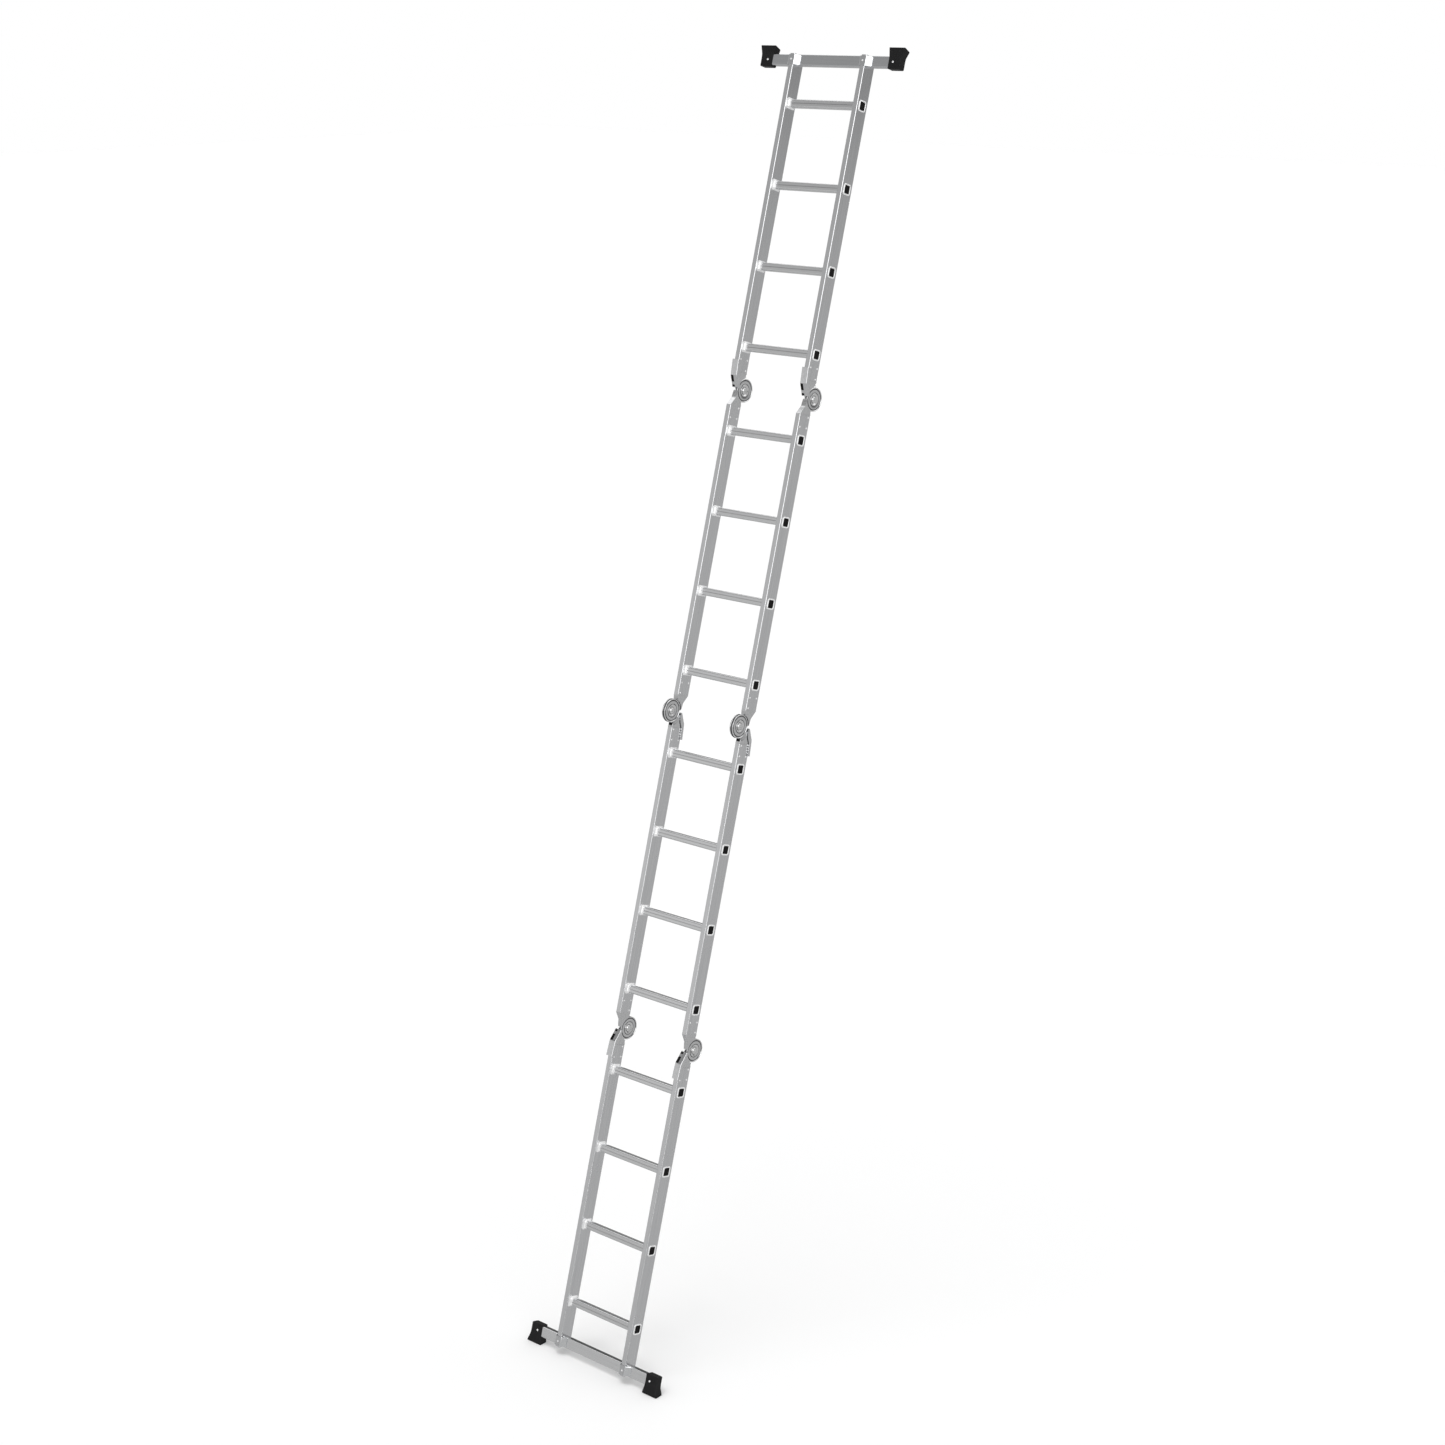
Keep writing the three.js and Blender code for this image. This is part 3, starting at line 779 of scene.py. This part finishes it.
def fork(bm):
    """Two pressed cheeks whose discs are dished round the pin, and the arm they run into."""
    for face in (1, -1):
        lathe(bm, [(radius, face * u) for radius, u in CHEEK_PROFILE])
    for look, low, high in CHEEK_LOOKS:
        paint(bm, look, low, high)
    arm = bmesh.new()

    def half(a, b):
        """As thin as the cheeks at the disc, and as thick as the shoulder 13 mm beyond it."""
        thin = CHEEK_OUTER - 0.2
        beyond = math.hypot(a - PIVOT_OFFSET, b) - DISC_RADIUS
        return thin + (SHOULDER_HALF - thin) * eased(beyond / 13)

    inside = TONGUE_RADIUS + 0.8
    columns = shoulder_columns(inside, SHOULDER_FRONT, -10)
    plate(arm, columns, shoulder_edge(FORK_EDGE, inside), SHOULDER_TOP, half, rows=14)
    # The bevels take the lighter pin steel: painted highlight on the edges.
    round_edges(arm, HINGE_BEVEL, look=PAINTED_HIGHLIGHT)
    add_mesh(bm, arm)


def hinge_rivet(bm):
    """The pin: a domed head with a raised ring in the dish on each side."""
    far = [(radius, -u) for radius, u in reversed(PIN_PROFILE)]
    lathe(bm, far + PIN_PROFILE[1:], closed=False, steps=40)


# The lever's plate and the free edge of its flanges, each as a over b
LEVER_FRONT = [
    (LEVER_NOSE, -9.6), (9, -12.5), (22, -19.5), (34, -26), (43, -31), (60, -32.6), (98, -35.6),
]
LEVER_FREE_EDGE = [(5, -4), (17, -3), (38, -9), (52, -18), (88, -20), (98, -24)]
LEVER_WAVE, LEVER_WAVES = 1.5, 4  # depth and number of the waves in the free edge
WAVY_FROM, WAVY_TO = 54, 90
LEVER_STEPS = 60
LEVER_TOOTH = [(-12.8, 12), (-12.3, 9.4), (0.5, 5.5), (0.5, 10.5), (-11.6, 13.6)]
TOOTH_HALF = 2.4
SLOT_SHADES = ((32, 21), (9, 6.5))  # centre along b, and length
SLOT_WIDTH, SLOT_CORNER = 11, 1.6
SLOT_SHIFT = 6.5  # the black slot inserts sit to one side of the nose
BLOCK_A, BLOCK_B = 28.5, 47  # the middle of the black block of painted shade
BLOCK_WIDTH, BLOCK_LENGTH, BLOCK_CORNER = 13, 9, 2
STRIP_INNER, STRIP_OUTER, STRIP_HALF = 38.4, 41.5, 2.6
STRIP_START, STRIP_TURN = 98, 34  # degrees round the pivot
ARM_RIVETS = ((-18, 101), (18, 101), (18, 65))  # in a and b


def lever_section(b):
    """The lever's channel section at b: round the outside, then back along the inside."""
    front = softened(LEVER_FRONT, b)
    free = softened(LEVER_FREE_EDGE, b)
    if WAVY_FROM < b < WAVY_TO:
        turn = (b - WAVY_FROM) / (WAVY_TO - WAVY_FROM) * LEVER_WAVES
        free += LEVER_WAVE * (math.cos(2 * math.pi * turn) - 1) / 2
    points = [(free, b, LEVER_HALF)]
    for face in (1, -1):
        turns = [0, 22.5, 45, 67.5, 90] if face > 0 else [90, 67.5, 45, 22.5, 0]
        for turn in turns:
            angle = math.radians(turn)
            a = front + LEVER_BEND - LEVER_BEND * math.sin(angle)
            u = LEVER_HALF - LEVER_BEND + LEVER_BEND * math.cos(angle)
            points.append((a, b, face * u))
    points.append((free, b, -LEVER_HALF))
    inner = LEVER_HALF - LEVER_SHEET
    floor = front + LEVER_SHEET
    points += [(free, b, -inner), (floor, b, -inner), (floor, b, inner), (free, b, inner)]
    return points


def lever(bm):
    """The release lever: a bent channel with the lock's tooth and the pivot pin's heads."""
    step_length = LEVER_END - LEVER_NOSE
    places = [LEVER_NOSE + step * step_length / LEVER_STEPS for step in range(LEVER_STEPS + 1)]
    loft(bm, [lever_section(b) for b in places])
    loft(bm, [[(a, b, u) for a, b in LEVER_TOOTH] for u in (-TOOTH_HALF, TOOTH_HALF)])
    for face in (1, -1):
        dome(bm, (*LEVER_PIVOT, face * LEVER_HALF), (0, 0, face), radius=3, height=0.8)


def lever_slot_shades(bm):
    """Black inserts pushed through the lever's nose: painted shade for the dark insides of its
    slots.
    """
    for centre, length in SLOT_SHADES:
        rings = []
        for proud, less in ((-1.5, 0), (0.4, 0), (0.9, 0.7)):
            ring = []
            for p in rounded(SLOT_WIDTH - 2 * less, length - 2 * less, SLOT_CORNER - less):
                b = centre + p.y
                ring.append((softened(LEVER_FRONT, b) - proud, b, p.x - SLOT_SHIFT))
            rings.append(ring)
        loft(bm, rings)


def gap_shade(bm):
    """Black pieces where the cheeks meet the stile and along the tongue's disc between the cheeks:
    painted shade for the dark mouth and gap of the hinge.
    """
    rings = []
    for proud, less in ((-5, 0), (1.6, 0), (2.6, 1)):
        ring = []
        for p in rounded(BLOCK_WIDTH - 2 * less, BLOCK_LENGTH - 2 * less, BLOCK_CORNER - less):
            ring.append((BLOCK_A + proud, BLOCK_B + p.y, p.x))
        rings.append(ring)
    loft(bm, rings)
    section = (
        (STRIP_INNER, -STRIP_HALF), (STRIP_OUTER, -STRIP_HALF),
        (STRIP_OUTER, STRIP_HALF), (STRIP_INNER, STRIP_HALF),
    )
    rings = []
    for step in range(9):
        angle = math.radians(STRIP_START - STRIP_TURN * step / 8)
        ring = []
        for radius, u in section:
            ring.append((PIVOT_OFFSET + radius * math.cos(angle), radius * math.sin(angle), u))
        rings.append(ring)
    loft(bm, rings)


def arm_rivets(bm):
    """Three rivets through the stile and the arm inside it, with a head on each face."""
    for face in (1, -1):
        for a, b in ARM_RIVETS:
            dome(bm, (a, b, face * STILE_WIDTH / 2), (0, 0, face))


def hinge_piece(draw, name, looks, body, slot, way, *nodes):
    """Draws a part in the hinge's frame and sets it at its hinge, the way round it faces."""
    disc_side, along, x, z = way
    bm = bmesh.new()
    draw(bm)
    for vert in bm.verts:
        a, b, u = vert.co
        vert.co = (x + u, disc_side * a, z + along * b)
    piece(name, bm, looks, body, slot, *nodes)


def build_hinge(name, disc_side, along, x, z, fork_body, tongue_body):
    """One hinge: the fork with its pin and lever, black pieces of painted shade in its gap, and
    the tongue from the other side.
    """
    fork_way = (disc_side, along, x, z)
    tongue_way = (disc_side, -along, x, z)
    lever_body = f"{name}_lever"
    node = f"{name}_hinge_fork"
    looks = HINGE_LOOKS
    hinge_piece(fork, f"{node}_cheeks", looks, fork_body, "hinge_steel", fork_way, node)
    node = f"{name}_hinge_tongue"
    hinge_piece(tongue, f"{node}_plate", looks, tongue_body, "hinge_steel", tongue_way, node)
    node = f"{name}_hinge_pin"
    looks = [PIN_STEEL_AND_HIGHLIGHT]
    hinge_piece(hinge_rivet, f"{node}_heads", looks, fork_body, "pin_steel", fork_way, node)
    node = f"{name}_release_lever"
    looks = [LEVER_METAL]
    hinge_piece(lever, f"{node}_channel", looks, lever_body, "lever_steel", fork_way, node)
    looks = [BLACK_RUBBER_AND_SHADE]
    # Black inserts in the lever's slots: painted shade.
    hinge_piece(lever_slot_shades, f"{node}_slot_shades", looks, lever_body, "black_rubber", fork_way)
    # Black pieces in the hinge's gap: painted shade.
    hinge_piece(gap_shade, f"{name}_hinge_gap_shade", looks, fork_body, "black_rubber", fork_way)
    # The rivet heads take the near-white look: painted highlight.
    looks = [RIVET_HIGHLIGHT_METAL]
    hinge_piece(arm_rivets, f"{name}_fork_rivets", looks, fork_body, "pin_steel", fork_way)
    hinge_piece(arm_rivets, f"{name}_tongue_rivets", looks, tongue_body, "pin_steel", tongue_way)


def build_hinges():
    for level, disc_side, along, fork_body, tongue_body in HINGES:
        height = HINGE_HEIGHT[level]
        for side_name, side in SIDES:
            name = f"{level}_{side_name}"
            build_hinge(name, disc_side, along, side * STILE_X, height, fork_body, tongue_body)


build_sections()
build_ends()
build_hinges()


# Floor, light and camera

ROOM_LEVEL = 0.41  # grey of the room where no patch reaches
# Patches of light or, below zero, of shade: azimuth, elevation, half-width, strength
ROOM_LIGHTS = (
    (-37, 23, 38, 2.0),  # front right, above the horizon
    (70, 48, 42, 0.9),  # behind, high
    (160, 50, 34, 0.8),  # left, high
    (-128, 6, 30, 0.24),  # front left, low
    (-130, 34, 32, -0.2),  # front left, high
    (127, 6, 42, -0.34),  # back left, at the horizon
    (54, 3, 22, -0.22),  # back right, at the horizon
)
DIFFUSE_LEVEL = 0.8  # what matt surfaces see all round
FLOOR_SHADE = 0.9
FLOOR_IN_METAL = 0.45  # the grey that metal sees where the floor is
FLOOR_DROP = 0.0005  # metres below the soles


def light_room():
    """White to the camera, one grey to matt surfaces, and to metal a room of light and shade."""
    world = bpy.data.worlds.new("studio")
    bpy.context.scene.world = world
    world.use_nodes = True
    tree = world.node_tree
    background = tree.nodes["Background"]
    place = tree.nodes.new("ShaderNodeTexCoord")

    def added(first, second):
        node = tree.nodes.new("ShaderNodeMath")
        node.operation = "ADD"
        tree.links.new(first, node.inputs[0])
        tree.links.new(second, node.inputs[1])
        return node.outputs[0]

    def side_light(azimuth, elevation, width, strength):
        """A soft patch centred on a direction, in degrees; azimuth 0 is +X and 90 is +Y."""
        azimuth, elevation = math.radians(azimuth), math.radians(elevation)
        flat = math.cos(elevation)
        towards = (flat * math.cos(azimuth), flat * math.sin(azimuth), math.sin(elevation))
        dot = tree.nodes.new("ShaderNodeVectorMath")
        dot.operation = "DOT_PRODUCT"
        tree.links.new(place.outputs["Generated"], dot.inputs[0])
        dot.inputs[1].default_value = towards
        patch = tree.nodes.new("ShaderNodeMapRange")
        patch.interpolation_type = "SMOOTHSTEP"
        patch.inputs["From Min"].default_value = math.cos(math.radians(width))
        patch.inputs["From Max"].default_value = 1.0
        patch.inputs["To Max"].default_value = strength
        tree.links.new(dot.outputs["Value"], patch.inputs["Value"])
        return patch.outputs["Result"]

    path = tree.nodes.new("ShaderNodeLightPath")

    def for_rays(kind, fixed, otherwise):
        """A fixed level for one kind of ray, and another for the rest."""
        mix = tree.nodes.new("ShaderNodeMix")
        mix.data_type = "FLOAT"
        tree.links.new(path.outputs[kind], mix.inputs[0])
        tree.links.new(otherwise, mix.inputs[2])
        mix.inputs[3].default_value = fixed
        return mix.outputs[0]

    plain = tree.nodes.new("ShaderNodeValue")
    plain.outputs[0].default_value = ROOM_LEVEL
    level = plain.outputs[0]
    for patch in ROOM_LIGHTS:
        level = added(level, side_light(*patch))
    level = for_rays("Is Camera Ray", 1.0, level)
    level = for_rays("Is Diffuse Ray", DIFFUSE_LEVEL, level)
    tree.links.new(level, background.inputs["Strength"])
    background.inputs["Color"].default_value = (1, 1, 1, 1)


def lay_floor(size=60):
    """A pale floor that glossy surfaces see as grey."""
    bm = bmesh.new()
    bmesh.ops.create_grid(bm, x_segments=4, y_segments=4, size=size)
    mesh = bpy.data.meshes.new("floor")
    bm.to_mesh(mesh)
    bm.free()
    floor = bpy.data.objects.new("floor", mesh)
    bpy.context.scene.collection.objects.link(floor)
    floor.location.z = cad_low.z - FLOOR_DROP
    material, tree, principled = shader("floor_look", 0.9, 0.0, Specular_IOR_Level=0.0)
    principled.inputs["Base Color"].default_value = (FLOOR_SHADE, FLOOR_SHADE, FLOOR_SHADE, 1)
    seen = tree.nodes.new("ShaderNodeEmission")
    seen.inputs["Color"].default_value = (FLOOR_IN_METAL, FLOOR_IN_METAL, FLOOR_IN_METAL, 1)
    path = tree.nodes.new("ShaderNodeLightPath")
    mix = tree.nodes.new("ShaderNodeMixShader")
    tree.links.new(path.outputs["Is Glossy Ray"], mix.inputs[0])
    tree.links.new(principled.outputs[0], mix.inputs[1])
    tree.links.new(seen.outputs[0], mix.inputs[2])
    tree.links.new(mix.outputs[0], tree.nodes["Material Output"].inputs["Surface"])
    mesh.materials.append(material)


def hang_lamp(strength, spread_angle, travel):
    """One large soft lamp, nearly overhead."""
    lamp = bpy.data.lights.new("overhead", "SUN")
    lamp.energy = strength
    lamp.angle = math.radians(spread_angle)
    made = bpy.data.objects.new("overhead", lamp)
    bpy.context.scene.collection.objects.link(made)
    made.visible_glossy = False
    made.rotation_mode = "QUATERNION"
    made.rotation_quaternion = Vector(travel).to_track_quat("-Z", "Y")


def set_camera(azimuth, elevation, distance, aim, lens):
    """Azimuth is measured from straight in front round towards +X, in degrees, and aim from
    the middle of the CAD, in metres."""
    azimuth, elevation = math.radians(azimuth), math.radians(elevation)
    flat = math.cos(elevation)
    away = Vector((math.sin(azimuth) * flat, -math.cos(azimuth) * flat, math.sin(elevation)))
    camera = bpy.data.cameras.new("camera")
    camera.lens = lens
    camera.clip_end = 200
    made = bpy.data.objects.new("camera", camera)
    bpy.context.scene.collection.objects.link(made)
    made.location = (cad_low + cad_high) / 2 + Vector(aim) + away * distance
    made.rotation_mode = "QUATERNION"
    made.rotation_quaternion = (-away).to_track_quat("-Z", "Y")
    bpy.context.scene.camera = made


light_room()
lay_floor()
hang_lamp(strength=0.95, spread_angle=32, travel=(0.055, 0.23, -0.97))
set_camera(
    azimuth=40.16, elevation=16.207, distance=8.634,
    aim=(0.0326, 0.0204, -0.0155), lens=62.6,
)
bpy.context.scene.view_settings.view_transform = "Standard"
